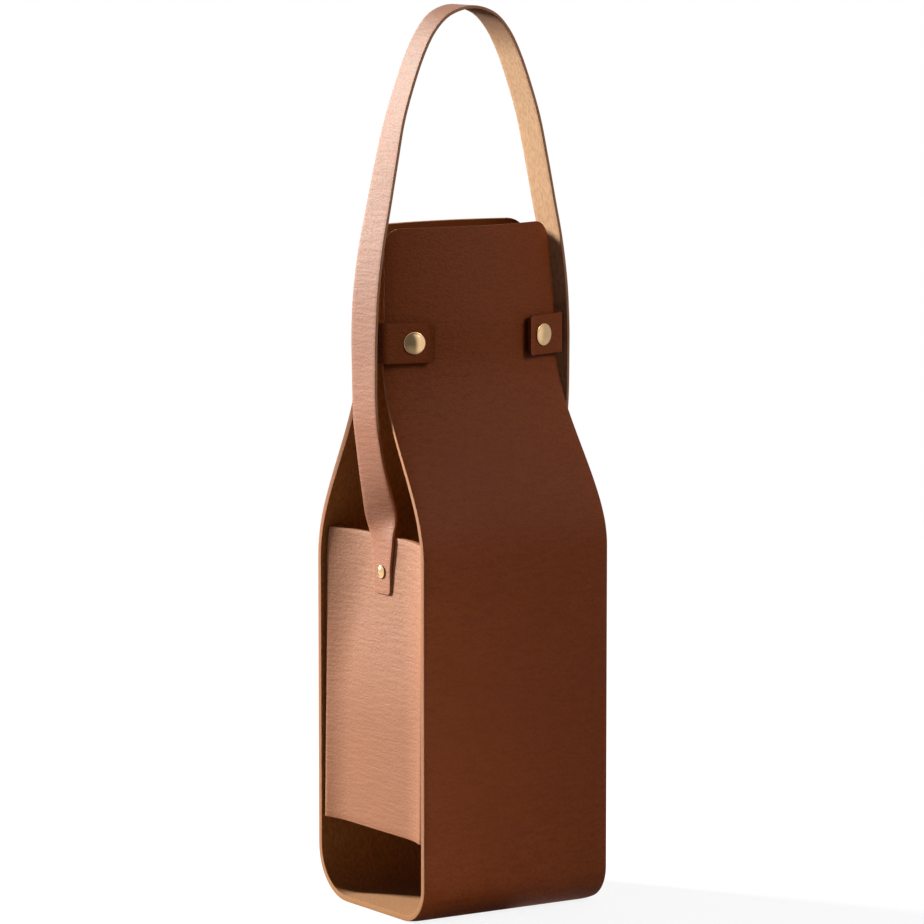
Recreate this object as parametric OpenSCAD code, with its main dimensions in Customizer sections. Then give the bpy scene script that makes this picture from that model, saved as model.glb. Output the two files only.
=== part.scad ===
// Tall leather carrier for one 75 cl wine bottle.
// One long strip of leather runs down the front, under the base and up the back.
// Two narrower side panels are bonded between its faces and leave it open above and below.
// A strap handle is riveted to the side panels, and two snap straps close the neck.
// Millimetres. +Z up, front face towards -Y, origin in the middle of the underside.

/* [Body strip] */
// Width of the long strip
body_w = 98; // [94:1:110]
// Depth over the front and back faces
body_d = 90; // [86:1:100]
// Height of the top edges of the front and back panels
panel_top = 308; // [295:1:330]
// Thickness of the strip leather
leather_t = 3; // [2:0.1:3.4]
// Outside radius of the fold between the base and the front
front_fold_r = 17; // [10:0.5:26]
// Outside radius of the fold between the base and the back
back_fold_r = 24; // [12:0.5:30]
// Radius of the rounded top corners
top_corner_r = 7.5; // [3:0.5:12]

/* [Shoulder and neck] */
// Height where the front panel starts to lean in
front_shoulder_z = 164; // [155:1:172]
// Height where the back panel starts to lean in
back_shoulder_z = 156; // [150:1:168]
// Height where the front panel stands upright again
front_neck_z = 252; // [240:0.5:260]
// Height where the back panel stands upright again
back_neck_z = 251; // [240:0.5:256]
// Distance of the front neck's side edges ahead of the handle's plane
neck_front = 7.2; // [6:0.1:12]
// Distance of the back neck's side edges behind the handle's plane
neck_back = 15; // [13:0.5:20]
// How far the middle of each neck panel bows outwards
neck_bow = 9; // [5:0.5:11]
// How far the top edge of the front panel leans in above the neck straps
front_lean = 4.6; // [0:0.2:5]
// How far the top edge of the back panel leans in above the neck straps
back_lean = 0.4; // [0:0.2:3]
// How much narrower the top edges are than the body, on each side
top_inset = 5.6; // [3:0.1:7]
// Height where the strip starts to narrow towards its top edges
taper_z = 175; // [165:1:200]

/* [Side panels] */
// Height of the lower edge of each side panel
gusset_bottom = 37; // [30:1:60]
// Height of the upper edge of each side panel
gusset_top = 170; // [165:1:180]
// Thickness of the side panel leather
gusset_t = 2.5; // [1.5:0.1:3]
// Distance of the side panel's top corners from the strip's cut edge
gusset_inset = 2.5; // [1.5:0.25:4]
// Distance of the side panel's bottom corners from the strip's cut edge
gusset_inset_bottom = 1; // [0.5:0.25:4]
// Half width of the middle of the side panel that is drawn in
gusset_flat = 24; // [18:1:28]
// How far the top of the side panel is drawn in at its middle
gusset_bow_top = 5; // [3:0.25:5.5]
// How far the bottom of the side panel is drawn in at its middle
gusset_bow_bottom = 2; // [0:0.25:4]
// Outside radius of the side panel's turned corners
gusset_corner_r = 4; // [3.5:0.25:6]
// Width of the turned flange that is bonded to the strip
flange_w = 8; // [5:0.5:12]

/* [Handle] */
// Height of the top of the handle
handle_top = 406; // [390:1:430]
// Width of the handle strap
handle_w = 18; // [14:0.5:22]
// Width of the handle strap at its riveted ends
handle_end_w = 14; // [12:0.5:16]
// Thickness of the handle strap
handle_t = 1.3; // [1:0.1:2.4]
// Clearance between each leg of the handle and the strip's cut edge
handle_clear = 2.1; // [1.3:0.1:4]
// Distance of the rivet below the top of the side panel
rivet_drop = 16; // [14:0.5:24]
// Distance of the strap's end below the rivet
rivet_end = 10; // [7:0.5:12]

/* [Neck straps] */
// Height of the middle of the neck straps
neck_strap_z = 257.5; // [254:0.5:270]
// Width of each neck strap
neck_strap_w = 18; // [14:0.5:24]
// Thickness of each neck strap
neck_strap_t = 1.8; // [1.2:0.1:2]
// Distance of the snap from the side edge of the neck
snap_inset = 12.2; // [11:0.1:14]
// Distance from the snap to the free end of the tab
tab_end = 9.5; // [7:0.5:14]
// Radius of the tab's corners
tab_corner_r = 2; // [1:0.25:4]
// Inside radius of the bends where a strap goes round the neck
strap_bend_r = 1.5; // [1:0.1:2]

/* [Snaps and rivets] */
// Diameter of the snap cap
cap_d = 10; // [8:0.25:12]
// Diameter of the snap's nub
nub_d = 3.4; // [2.6:0.1:3.6]
// Diameter of the rivet caps
rivet_d = 6; // [5.5:0.25:9]
// Diameter of the rivet posts
post_d = 3; // [2:0.1:3.4]
// Rise of the domed caps
dome_rise = 0.9; // [0.6:0.1:1.4]
// Clearance round a post that something turns on
running_fit = 0.05; // [0.02:0.01:0.1]

/* [Hidden] */
$fn = 48;

// Gap between faces that are bonded, riveted or laid together
leather_gap = 0.1;
// Gap between faces of pieces that move on each other
slide_gap = 0.2;
// How far a cut runs past the face it goes through
overrun = 1;
// Gap between the front panel and the closed tab, which the snap fills
snap_gap = 1.2;
// Sideways clearance of the nub in the socket, so that the tab can swing off it
snap_clear = 0.5;
// Wall of the barrel that holds cap and socket together
barrel_wall = 0.5;
// Thickness of the rims and flanges of the metal parts
rim_t = 0.4;
// Depth to which the nub reaches into the tab
nub_reach = 0.4;
// Width of the stud's and eyelet's flanges round their posts
flange_rim = 1.9;
// Depth of the socket below the tab
socket_t = 0.7;
// Thickness of the rivet washers, and of the peened end over each
washer_t = 0.6;
peen_t = 0.3;
// Distance from the neck's edge to the fold line of each tab
tab_fold_inset = 2.3;

// Counts of steps along the strip, across it, round a fold and between handle points
panel_steps = 22;
cross_steps = 12;
fold_steps = 8;
corner_steps = 4;
route_steps = 4;

// How gently the strip starts to narrow and to lean: 1 would be a sharp corner
draw_power = 1.2;

body_half = body_w / 2;
depth_half = body_d / 2;
strap_low_z = neck_strap_z - neck_strap_w / 2;
lean_z = neck_strap_z + cap_d / 2;
neck_half = panel_half(neck_strap_z);
snap_x = neck_half - snap_inset;
gusset_face_x = body_half - gusset_inset - gusset_bow_top;
rivet_z = gusset_top - rivet_drop;
flat_z = rivet_z - rivet_end - handle_w / 3;

saddle = [0.42, 0.22, 0.12];
saddle_light = [0.78, 0.55, 0.42];
brass = [0.85, 0.72, 0.45];

function unit(v) = v / norm(v);
function blend(a, b, share) = a + (b - a) * share;
// Eased step from 0 to 1 as value goes from low to high
function eased(value, low, high) =
  let (s = max(0, min(1, (value - low) / (high - low)))) s * s * (3 - 2 * s);
function turned(v) = [-v[1], v[0]];
function reversed(list) = [for (i = [len(list) - 1:-1:0]) list[i]];
function arc(centre, radius, from, to, steps) =
  [for (i = [0:steps]) let (a = blend(from, to, i / steps))
    centre + radius * [cos(a), sin(a)]];
// Half width left at a distance from a straight end whose corners are rounded
function rounded_half(half, radius, from_end) =
  from_end >= radius ? half : half - radius + sqrt(radius * radius - pow(radius - from_end, 2));
// Distances from an end at which its rounded corner is sampled
function corner_places(radius) =
  [for (i = [0:corner_steps]) radius * (1 - cos(90 * i / corner_steps))];

// A sheet of leather between an outer and an inner grid of points of the same size.
// Rows crossed with columns give the outward direction.
module sheet(outer, inner) {
  rows = len(outer);
  cols = len(outer[0]);
  count = rows * cols;
  function at(side, r, c) = side * count + r * cols + c;
  function quad(a, b, c, d) = [[a, b, c], [a, c, d]];
  quads = concat(
    [for (r = [0:rows - 2], c = [0:cols - 2])
      quad(at(0, r, c), at(0, r, c + 1), at(0, r + 1, c + 1), at(0, r + 1, c))],
    [for (r = [0:rows - 2], c = [0:cols - 2])
      quad(at(1, r, c), at(1, r + 1, c), at(1, r + 1, c + 1), at(1, r, c + 1))],
    [for (r = [0:rows - 2], c = [0, cols - 1]) c == 0
      ? quad(at(0, r, c), at(0, r + 1, c), at(1, r + 1, c), at(1, r, c))
      : quad(at(0, r, c), at(1, r, c), at(1, r + 1, c), at(0, r + 1, c))],
    [for (c = [0:cols - 2], r = [0, rows - 1]) r == 0
      ? quad(at(0, r, c), at(1, r, c), at(1, r, c + 1), at(0, r, c + 1))
      : quad(at(0, r, c), at(0, r, c + 1), at(1, r, c + 1), at(1, r, c))]
  );
  polyhedron(
    points = [for (grid = [outer, inner], row = grid, p = row) p],
    faces = [for (q = quads, f = q) f],
    convexity = 8
  );
}

// Direction along a list of points at place i, from its neighbours
function along(points, i) = let (last = len(points) - 1)
  i == 0 ? unit(points[1] - points[0])
  : i == last ? unit(points[last] - points[last - 1])
  : unit(unit(points[i] - points[i - 1]) + unit(points[i + 1] - points[i]));
// The grid moved inwards by a thickness, square to its own surface
function lined(grid, thickness) =
  [for (r = [0:len(grid) - 1]) [for (c = [0:len(grid[r]) - 1])
    let (column = [for (row = grid) row[c]])
    grid[r][c] - thickness * unit(cross(along(column, r), along(grid[r], c)))]];

// Body strip. Each panel is a surface over width and height: how far its edges stand
// from the handle's plane, how much it bows, and how wide it is. Its settings are the
// heights where it leans and stands upright again, its neck distance, -1 or 1 for the
// front or the back, and how far its top edge leans in.
front_panel = [front_shoulder_z, front_neck_z, neck_front, -1, front_lean];
back_panel = [back_shoulder_z, back_neck_z, neck_back, 1, back_lean];
// Share of a narrowing or a lean that starts at low and is whole at the top edge
function drawn(z, low) = pow(max(0, (z - low) / (panel_top - low)), draw_power);
function panel_half(z) = body_half - top_inset * drawn(z, taper_z);
function panel_edge(z, panel) = blend(depth_half, panel[2], eased(z, panel[0], panel[1]))
  - panel[4] * drawn(z, lean_z);
function panel_depth(x, z, panel) = panel_edge(z, panel)
  + neck_bow * eased(z, panel[0], panel[1]) * (1 - pow(x / neck_half, 2));
// Direction square out of the panel, before it is turned to the front or the back
function panel_out(x, z, panel) = unit([
  2 * neck_bow * eased(z, panel[0], panel[1]) * x / pow(neck_half, 2),
  1,
  (panel_depth(x, z - leather_gap, panel) - panel_depth(x, z + leather_gap, panel))
    / (2 * leather_gap)
]);
function panel_row(z, panel, inwards) =
  let (half = rounded_half(panel_half(z), top_corner_r, panel_top - z))
  [for (i = [0:cross_steps])
    let (
      x = half * (2 * i / cross_steps - 1),
      p = [x, panel_depth(x, z, panel), z] - inwards * panel_out(x, z, panel)
    )
    [p[0], panel[3] * p[1], p[2]]];
function panel_rows(panel, inwards) = concat(
  [for (d = corner_places(top_corner_r)) panel_row(panel_top - d, panel, inwards)],
  [for (i = [1:panel_steps])
    panel_row(blend(panel_top - top_corner_r, panel[0], i / panel_steps), panel, inwards)]);
function straight_row(p) =
  [for (i = [0:cross_steps]) [body_half * (2 * i / cross_steps - 1), p[0], p[1]]];
function fold_rows(inwards) = [for (p = concat(
    arc([front_fold_r - depth_half, front_fold_r], front_fold_r - inwards, 180, 270, fold_steps),
    arc([depth_half - back_fold_r, back_fold_r], back_fold_r - inwards, 270, 360, fold_steps)))
  straight_row(p)];
function strip_face(inwards) = concat(
  panel_rows(front_panel, inwards),
  fold_rows(inwards),
  reversed(panel_rows(back_panel, inwards)));

module body_strip() color(saddle) difference() {
  sheet(strip_face(0), strip_face(leather_t));
  for (side = [0, 1]) mirror([side, 0, 0]) {
    on_front() post_hole(post_d / 2 + running_fit, leather_t);
    on_back() post_hole(post_d / 2 + running_fit, leather_t);
  }
}

// Places on the neck. Each frame has its origin on the panel's outer face at the snap,
// its X along the strap towards the side edge and its Z square out of the panel.
neck_share = 1 - pow(snap_x / neck_half, 2);
neck_tilt = atan(2 * neck_bow * snap_x / (neck_half * neck_half));
front_y = neck_front + neck_bow * neck_share;
back_y = neck_back + neck_bow * neck_share;
module on_front() translate([snap_x, -front_y, neck_strap_z]) rotate([90, 0, neck_tilt]) children();
module on_back() mirror([0, 1, 0])
  translate([snap_x, -back_y, neck_strap_z]) rotate([90, 0, neck_tilt]) children();
module post_hole(radius, depth) translate([0, 0, -depth - overrun])
  cylinder(r = radius, h = depth + 2 * overrun);

// Side panels. The plan of the outer face, from the front flange round to the back one,
// is worked out for each height, so that the flanges follow the leaning panels.
function gusset_edge(z) =
  body_half - blend(gusset_inset_bottom, gusset_inset, eased(z, gusset_bottom, flat_z));
function gusset_bow(z) =
  blend(gusset_bow_bottom, gusset_bow_top, eased(z, gusset_bottom, flat_z));
function gusset_side(y, z, y_front, y_back) =
  let (reach = y < 0 ? y_front : y_back)
  gusset_edge(z) - gusset_bow(z) * (1 - eased(abs(y), gusset_flat, reach - gusset_corner_r));
side_steps = 20;
function gusset_plan(z) =
  let (
    inner = leather_t + leather_gap,
    y_front = panel_edge(z, front_panel) - inner,
    y_back = panel_edge(z, back_panel) - inner,
    corner_x = gusset_edge(z) - gusset_corner_r
  )
  concat(
    [[corner_x - flange_w + gusset_corner_r, -y_front]],
    arc([corner_x, gusset_corner_r - y_front], gusset_corner_r, 270, 360, corner_steps),
    [for (i = [1:side_steps - 1])
      let (y = blend(gusset_corner_r - y_front, y_back - gusset_corner_r, i / side_steps))
      [gusset_side(y, z, y_front, y_back), y]],
    arc([corner_x, y_back - gusset_corner_r], gusset_corner_r, 0, 90, corner_steps),
    [[corner_x - flange_w + gusset_corner_r, y_back]]
  );
gusset_heights = concat(
  [for (share = [0:0.25:0.75]) blend(gusset_bottom, flat_z, share)],
  [for (share = [0:0.25:1]) blend(flat_z, gusset_top, share)]);
gusset_grid = [for (z = gusset_heights) [for (p = reversed(gusset_plan(z))) [p[0], p[1], z]]];

module gusset() color(saddle_light) difference() {
  sheet(gusset_grid, lined(gusset_grid, gusset_t));
  on_gusset() post_hole(post_d / 2 + running_fit, gusset_t);
}
module left_gusset() mirror([1, 0, 0]) gusset();
module right_gusset() gusset();

// Frame at the handle's rivet: origin on the side panel's outer face, Z square out of it
module on_gusset() translate([gusset_face_x, 0, rivet_z]) rotate([0, 90, 0]) children();

// Handle. The middle line of one leg, as shares of its run from the rivet out past the
// shoulder, and then of its run from the widest place to the top.
leg_end_x = gusset_face_x + slide_gap + handle_t / 2;
leg_wide_x = body_half + handle_clear + handle_t / 2;
arch_top_z = handle_top - handle_t / 2;
// Each pair: share of the height from rivet to neck straps, share of the way out
leg_shares = [
  [0.13, 0.01], [0.27, 0.085], [0.45, 0.485], [0.61, 0.77], [0.76, 0.955], [1, 1]
];
// Each pair: share of the height from neck straps to top, share of the widest reach
arch_shares = [
  [0.09, 0.998], [0.2, 0.978], [0.32, 0.928], [0.44, 0.852], [0.56, 0.775],
  [0.68, 0.69], [0.785, 0.583], [0.87, 0.477], [0.935, 0.363], [0.981, 0.215]
];
half_route = concat(
  [[leg_end_x, rivet_z - rivet_end], [leg_end_x, rivet_z]],
  [for (s = leg_shares)
    [blend(leg_end_x, leg_wide_x, s[1]), blend(rivet_z, strap_low_z, s[0])]],
  [for (s = arch_shares) [leg_wide_x * s[1], blend(strap_low_z, arch_top_z, s[0])]]
);
handle_points = concat(
  [for (p = half_route) [-p[0], p[1]]],
  [[0, arch_top_z]],
  reversed(half_route)
);
// Smooth curve through four points, between the middle two
function through(a, b, c, d, s) =
  (2 * b + (c - a) * s + (2 * a - 5 * b + 4 * c - d) * s * s
    + (3 * b - a - 3 * c + d) * s * s * s) / 2;
function smooth(points) = let (last = len(points) - 1) concat(
  [for (i = [0:last - 1], k = [0:route_steps - 1])
    through(points[max(0, i - 1)], points[i], points[i + 1], points[min(last, i + 2)],
      k / route_steps)],
  [points[last]]);
handle_route = smooth(handle_points);
function handle_half(z) = rounded_half(
  blend(handle_end_w, handle_w, eased(z, rivet_z, gusset_top)) / 2,
  tab_corner_r, z - rivet_z + rivet_end);
handle_middle = [for (p = handle_route)
  [for (way = [-1, 1]) [p[0], way * handle_half(p[1]), p[1]]]];

module handle_strap() color(saddle_light) difference() {
  sheet(lined(handle_middle, -handle_t / 2), lined(handle_middle, handle_t / 2));
  for (side = [0, 1]) mirror([side, 0, 0]) on_gusset() translate([0, 0, handle_t + slide_gap])
    post_hole(post_d / 2 + running_fit, handle_t);
}

// Metal parts. A domed head stands on Z zero and rises along Z.
module dome(diameter) {
  half = diameter / 2;
  radius = (half * half + dome_rise * dome_rise) / (2 * dome_rise);
  rotate_extrude() polygon(concat(
    [[0, 0], [half, 0]],
    arc([0, rim_t + dome_rise - radius], radius, acos(half / radius), 90, fold_steps)));
}
module ring(outer_d, inner_d, height) difference() {
  cylinder(d = outer_d, h = height);
  translate([0, 0, -overrun]) cylinder(d = inner_d, h = height + 2 * overrun);
}
// Rivet with a domed cap above a stack of leather and a peened end under its washer
module rivet(head_z, depth) {
  peened = depth + leather_gap + washer_t;
  translate([0, 0, head_z]) dome(rivet_d);
  translate([0, 0, -peened]) cylinder(d = post_d, h = head_z + peened);
  translate([0, 0, -peened - peen_t])
    cylinder(d1 = post_d, d2 = post_d + 2 * peen_t, h = peen_t);
}
module washer(depth) translate([0, 0, -depth - leather_gap - washer_t])
  ring(rivet_d - 2 * rim_t, post_d + 2 * running_fit, washer_t);

handle_head_z = slide_gap + handle_t + leather_gap;
module handle_rivet() color(brass) on_gusset() rivet(handle_head_z, gusset_t);
module rivet_washer() color(brass) on_gusset() washer(gusset_t);
module left_handle_rivet() mirror([1, 0, 0]) handle_rivet();
module right_handle_rivet() handle_rivet();
module left_rivet_washer() mirror([1, 0, 0]) rivet_washer();
module right_rivet_washer() rivet_washer();

// Neck straps. In plan the inner face follows the tab's line, the neck's side and the
// back panel; each of the two bends is an arc with the strap's thickness added outside.
front_dir = [cos(neck_tilt), sin(neck_tilt)];
back_dir = [cos(neck_tilt), -sin(neck_tilt)];
front_out = [sin(neck_tilt), -cos(neck_tilt)];
back_out = [sin(neck_tilt), cos(neck_tilt)];
front_seat = [snap_x, -front_y] + front_out * snap_gap;
back_seat = [snap_x, back_y] + back_out * leather_gap;
strap_side_x = panel_half(strap_low_z) + slide_gap;
tab_fold = (neck_half - tab_fold_inset - front_seat[0]) / front_dir[0];
function where_x(seat, dir, x) = seat + dir * ((x - seat[0]) / dir[0]);
strap_corners = [
  front_seat + front_dir * (tab_fold + leather_gap),
  where_x(front_seat, front_dir, strap_side_x),
  where_x(back_seat, back_dir, strap_side_x),
  back_seat - back_dir * tab_end
];
// Points along one face of the strap, at a distance out from its inner face
function strap_face(out) = concat(
  [strap_corners[0] + front_out * out],
  strap_bend(1, out), strap_bend(2, out),
  [strap_corners[3] + back_out * out]);
function strap_bend(i, out) =
  let (
    came = unit(strap_corners[i] - strap_corners[i - 1]),
    goes = unit(strap_corners[i + 1] - strap_corners[i]),
    turn = acos(came * goes),
    centre = strap_corners[i] - came * (strap_bend_r * tan(turn / 2)) + turned(came) * strap_bend_r,
    start = atan2(-turned(came)[1], -turned(came)[0])
  )
  arc(centre, strap_bend_r + out, start, start + turn, fold_steps);

module neck_strap() color(saddle) difference() {
  translate([0, 0, strap_low_z]) linear_extrude(neck_strap_w)
    polygon(concat(strap_face(neck_strap_t), reversed(strap_face(0))));
  on_back() translate([0, 0, leather_gap + neck_strap_t])
    post_hole(post_d / 2 + running_fit, neck_strap_t);
}
module left_neck_strap() mirror([1, 0, 0]) neck_strap();
module right_neck_strap() neck_strap();

// Tab: the strap's free end, from the fold line at the neck's edge to its rounded end
module tab_outline() {
  half = neck_strap_w / 2;
  polygon(concat(
    [[tab_fold, -half], [tab_fold, half]],
    arc([tab_corner_r - tab_end, half - tab_corner_r], tab_corner_r, 90, 180, corner_steps),
    arc([tab_corner_r - tab_end, tab_corner_r - half], tab_corner_r, 180, 270, corner_steps)));
}
bore_d = nub_d + 2 * snap_clear;
barrel_d = bore_d + 2 * barrel_wall;
module tab() color(saddle) on_front() translate([0, 0, snap_gap]) difference() {
  linear_extrude(neck_strap_t) tab_outline();
  translate([0, 0, -overrun]) cylinder(d = barrel_d + 2 * running_fit, h = neck_strap_t + 2 * overrun);
}
module left_tab() mirror([1, 0, 0]) tab();
module right_tab() tab();

// Snap: the cap's barrel passes through the tab and the socket's ring is rolled onto it
module snap_cap() color(brass) on_front() {
  translate([0, 0, snap_gap + neck_strap_t + leather_gap]) dome(cap_d);
  translate([0, 0, snap_gap]) difference() {
    cylinder(d = barrel_d, h = neck_strap_t + leather_gap);
    translate([0, 0, -overrun]) cylinder(d = bore_d, h = nub_reach + snap_clear + overrun);
  }
}
module snap_socket() color(brass) on_front() translate([0, 0, snap_gap - socket_t])
  ring(barrel_d + 2 * flange_rim, bore_d, socket_t);
module left_snap_cap() mirror([1, 0, 0]) snap_cap();
module right_snap_cap() snap_cap();
module left_snap_socket() mirror([1, 0, 0]) snap_socket();
module right_snap_socket() snap_socket();

// Stud on the front panel, held by an eyelet whose barrel comes through from inside
module snap_stud() color(brass) on_front() difference() {
  union() {
    translate([0, 0, leather_gap]) cylinder(d = post_d + 2 * flange_rim, h = rim_t - leather_gap);
    translate([0, 0, leather_gap]) cylinder(d = nub_d, h = snap_gap + nub_reach - leather_gap - rim_t);
    translate([0, 0, snap_gap + nub_reach - rim_t])
      cylinder(d1 = nub_d, d2 = nub_d - rim_t, h = rim_t);
  }
  translate([0, 0, -overrun]) cylinder(d = post_d / 2 + 2 * running_fit, h = snap_gap + overrun);
}
module snap_eyelet() color(brass) on_front() {
  translate([0, 0, -leather_t - leather_gap - rim_t]) cylinder(d = post_d + 2 * flange_rim, h = rim_t);
  translate([0, 0, -leather_t - leather_gap]) cylinder(d = post_d, h = leather_t + leather_gap);
  cylinder(d = post_d / 2, h = snap_gap - leather_gap);
}
module left_snap_stud() mirror([1, 0, 0]) snap_stud();
module right_snap_stud() snap_stud();
module left_snap_eyelet() mirror([1, 0, 0]) snap_eyelet();
module right_snap_eyelet() snap_eyelet();

// Rivets that hold the other end of each neck strap to the back panel
back_head_z = neck_strap_t + 2 * leather_gap;
module back_rivet() color(brass) on_back() rivet(back_head_z, leather_t);
module back_washer() color(brass) on_back() washer(leather_t);
module left_back_rivet() mirror([1, 0, 0]) back_rivet();
module right_back_rivet() back_rivet();
module left_back_washer() mirror([1, 0, 0]) back_washer();
module right_back_washer() back_washer();

body_strip();
left_gusset();
right_gusset();
handle_strap();
left_handle_rivet();
right_handle_rivet();
left_rivet_washer();
right_rivet_washer();
left_neck_strap();
right_neck_strap();
left_tab();
right_tab();
left_snap_cap();
right_snap_cap();
left_snap_socket();
right_snap_socket();
left_snap_stud();
right_snap_stud();
left_snap_eyelet();
right_snap_eyelet();
left_back_rivet();
right_back_rivet();
left_back_washer();
right_back_washer();
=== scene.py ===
# %% [markdown]
# # A leather bottle carrier
#
# This notebook dresses a tall leather carrier for one wine bottle. The real object is one long
# strip of saddle-brown leather folded into a U, two side panels bonded between its faces, a strap
# handle on two brass rivets, and two snap straps that close the neck. The engineering model is
# loaded first and never moved. Each piece of leather is then modelled again as a sheet with
# rounded cut edges, and all but the neck straps ride on the body that carries them.

# %% The frame that everything is built around
import math

import bmesh
import bpy
import numpy as np
from mathutils import Matrix, Vector


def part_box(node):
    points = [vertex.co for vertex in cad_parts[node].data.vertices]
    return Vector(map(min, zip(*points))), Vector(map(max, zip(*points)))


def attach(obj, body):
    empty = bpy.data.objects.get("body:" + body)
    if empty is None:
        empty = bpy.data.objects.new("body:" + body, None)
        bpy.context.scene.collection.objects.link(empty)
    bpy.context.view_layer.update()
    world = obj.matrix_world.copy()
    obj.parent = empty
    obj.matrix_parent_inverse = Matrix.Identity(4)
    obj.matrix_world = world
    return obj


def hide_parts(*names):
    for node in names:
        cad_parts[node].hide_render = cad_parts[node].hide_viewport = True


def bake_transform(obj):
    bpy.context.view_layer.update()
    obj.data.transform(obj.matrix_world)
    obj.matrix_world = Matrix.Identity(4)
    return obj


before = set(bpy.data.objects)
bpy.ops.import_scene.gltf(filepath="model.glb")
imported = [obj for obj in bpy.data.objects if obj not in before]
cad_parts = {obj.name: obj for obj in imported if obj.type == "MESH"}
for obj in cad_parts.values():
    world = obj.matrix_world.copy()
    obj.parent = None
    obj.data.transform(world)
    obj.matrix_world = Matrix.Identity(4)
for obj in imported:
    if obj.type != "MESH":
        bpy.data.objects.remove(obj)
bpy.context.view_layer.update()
MM = 0.001

# %% [markdown]
# ## Camera
#
# The carrier was photographed from the front left, a little above its middle, with a long lens.
# A long lens keeps the upright edges nearly parallel, so the focal length matters as much as the
# place. All the numbers describe one camera that looks at a point on the carrier's middle line.

# %% Putting an object in the scene, and aiming it
def put_in_scene(name, data):
    """A new object that holds a camera, a lamp or a mesh."""
    made = bpy.data.objects.new(name, data)
    bpy.context.scene.collection.objects.link(made)
    return made


def aimed_along(direction):
    """The turn that points a camera or a lamp along direction."""
    return direction.to_track_quat("-Z", "Y").to_euler()


# %% Camera at the photograph's viewing angle
view_turn = math.radians(33.09)
view_rise = math.radians(7.32)
view_distance = 2407.2 * MM
look_at = Vector((0, 0, 200.4 * MM))
sensor_width = 36
lens = 208.1
sight_limit = 50

towards_camera = Vector((
    -math.sin(view_turn) * math.cos(view_rise),
    -math.cos(view_turn) * math.cos(view_rise),
    math.sin(view_rise),
))
camera_data = bpy.data.cameras.new("camera")
camera_data.lens = lens
camera_data.sensor_width = sensor_width
camera_data.clip_end = sight_limit
camera = put_in_scene("camera", camera_data)
camera.location = look_at + towards_camera * view_distance
camera.rotation_euler = aimed_along(-towards_camera)
bpy.context.scene.camera = camera
bpy.context.scene.view_settings.view_transform = "Standard"
print("camera at", [round(v, 3) for v in camera.location])

# %% [markdown]
# ## Arithmetic on shader sockets
#
# A node graph is easier to read as a sum than as a list of links. The small class below wraps an
# output socket, and its operators add Math nodes, so `0.4 + grain * 0.1` builds the graph.
# Colours don't go through Math nodes, which would turn them grey: they go through `mix`.

# %% A socket that can be added, subtracted and multiplied
class Signal:
    def __init__(self, graph, socket):
        self.graph = graph
        self.socket = socket

    def __add__(self, other):
        return self.graph.math("ADD", self, other)

    def __sub__(self, other):
        return self.graph.math("SUBTRACT", self, other)

    def __rsub__(self, other):
        return self.graph.math("SUBTRACT", other, self)

    def __mul__(self, other):
        return self.graph.math("MULTIPLY", self, other)

    __radd__ = __add__
    __rmul__ = __mul__


class Outputs:
    """The outputs of one node, each as a Signal."""
    def __init__(self, graph, node):
        self.graph = graph
        self.node = node

    def __getitem__(self, key):
        return Signal(self.graph, self.node.outputs[key])


# %% Nodes of one tree
class Graph:
    def __init__(self, tree):
        self.tree = tree

    def node(self, kind, settings=None, inputs=None):
        """Adds one node: its settings first, then the values or links of its sockets."""
        made = self.tree.nodes.new(kind)
        for key, value in (settings or {}).items():
            setattr(made, key, value)
        for key, value in (inputs or {}).items():
            self.feed(made.inputs[key], value)
        return Outputs(self, made)

    def feed(self, socket, value):
        """Links a signal to a socket, or sets a plain value on it."""
        if isinstance(value, Signal):
            self.tree.links.new(value.socket, socket)
        else:
            socket.default_value = value

    def math(self, operation, first, second):
        return self.node("ShaderNodeMath", {"operation": operation}, {0: first, 1: second})[0]

    def vector_math(self, operation, *values):
        return self.node("ShaderNodeVectorMath", {"operation": operation},
                         dict(enumerate(values)))

    def mix(self, share, first, second):
        """Colour mix from first to second by share."""
        made = self.node("ShaderNodeMix", {"data_type": "RGBA"}, {0: share, 6: first, 7: second})
        return made[2]

    def range(self, value, low, high, to_low=0.0, to_high=1.0):
        made = self.node("ShaderNodeMapRange", {"clamp": True},
                         {0: value, 1: low, 2: high, 3: to_low, 4: to_high})
        return made[0]

    def place(self):
        """The point on the piece, in metres."""
        return self.node("ShaderNodeTexCoord")["Object"]

    def stretched(self, place, scale):
        return self.node("ShaderNodeMapping", {}, {"Vector": place, "Scale": scale})[0]

    def noise(self, place, scale, detail=3.0, roughness=0.5, output="Fac"):
        return self.node("ShaderNodeTexNoise", {},
                         {"Vector": place, "Scale": scale, "Detail": detail,
                          "Roughness": roughness})[output]

    def bump(self, height, depth, strength, normal=None):
        """Relief of a depth in metres, on top of an earlier normal where there is one."""
        inputs = {"Height": height, "Distance": depth, "Strength": strength}
        if normal is not None:
            inputs["Normal"] = normal
        return self.node("ShaderNodeBump", {}, inputs)[0]


# %% A material under construction
class Finish(Graph):
    def __init__(self, name):
        self.material = bpy.data.materials.new(name)
        self.material.use_nodes = True
        super().__init__(self.material.node_tree)
        self.shader = self.tree.nodes["Principled BSDF"]

    def set(self, **values):
        """Feeds the shader's sockets by name, and gives the material back."""
        for key, value in values.items():
            self.feed(self.shader.inputs[key.replace("_", " ")], value)
        return self.material


# %% Colours as a painter names them
def srgb(red, green, blue):
    """A colour from 0 to 255, in the linear light that shaders use."""
    def linear(v):
        v = v / 255
        return v / 12.92 if v <= 0.04045 else ((v + 0.055) / 1.055) ** 2.4
    return (linear(red), linear(green), linear(blue), 1.0)


print("saddle brown in linear light:", [round(v, 3) for v in srgb(124, 56, 14)])
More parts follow.
